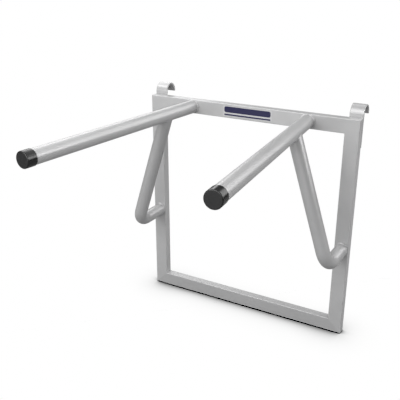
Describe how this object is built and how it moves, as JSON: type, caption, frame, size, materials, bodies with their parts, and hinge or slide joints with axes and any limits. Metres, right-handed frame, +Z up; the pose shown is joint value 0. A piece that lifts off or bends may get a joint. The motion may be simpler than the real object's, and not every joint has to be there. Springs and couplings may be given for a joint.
{
  "type": "wall bar dip station",
  "caption": "Welded square tube frame that hooks over a wall bar rung and carries level, outward splayed dip bars on bent braces, with plastic end caps.",
  "frame": {"origin": "middle of the wall bar rung that the two hooks sit on, 24.3 mm behind and 28 mm above the middle of the top rail's back face", "axes": "+X to the right seen from the front, +Y towards the wall, +Z up"},
  "size_m": [0.64, 0.701, 0.67],
  "materials": {
    "frame_paint": "satin silver-grey powder coat",
    "bar_paint": "satin silver-grey powder coat",
    "hook_paint": "satin silver-grey powder coat",
    "weld_paint": "satin silver-grey powder coat over a weld bead",
    "cap_plastic": "black moulded plastic, glossy skirt and matte end",
    "decal_vinyl": "printed navy vinyl"
  },
  "bodies": {
    "root": {"top_rail": "frame_paint", "bottom_rail": "frame_paint", "left_upright": "frame_paint", "right_upright": "frame_paint", "left_dip_bar": "bar_paint", "left_brace": "bar_paint", "left_hook": "hook_paint", "left_bar_cap": "cap_plastic", "left_bar_root_weld": "weld_paint", "left_brace_top_weld": "weld_paint", "left_brace_foot_weld": "weld_paint", "left_hook_side_weld": "weld_paint", "left_hook_end_weld": "weld_paint", "right_dip_bar": "bar_paint", "right_brace": "bar_paint", "right_hook": "hook_paint", "right_bar_cap": "cap_plastic", "right_bar_root_weld": "weld_paint", "right_brace_top_weld": "weld_paint", "right_brace_foot_weld": "weld_paint", "right_hook_side_weld": "weld_paint", "right_hook_end_weld": "weld_paint", "rail_decal": "decal_vinyl"}
  },
  "joints": []
}
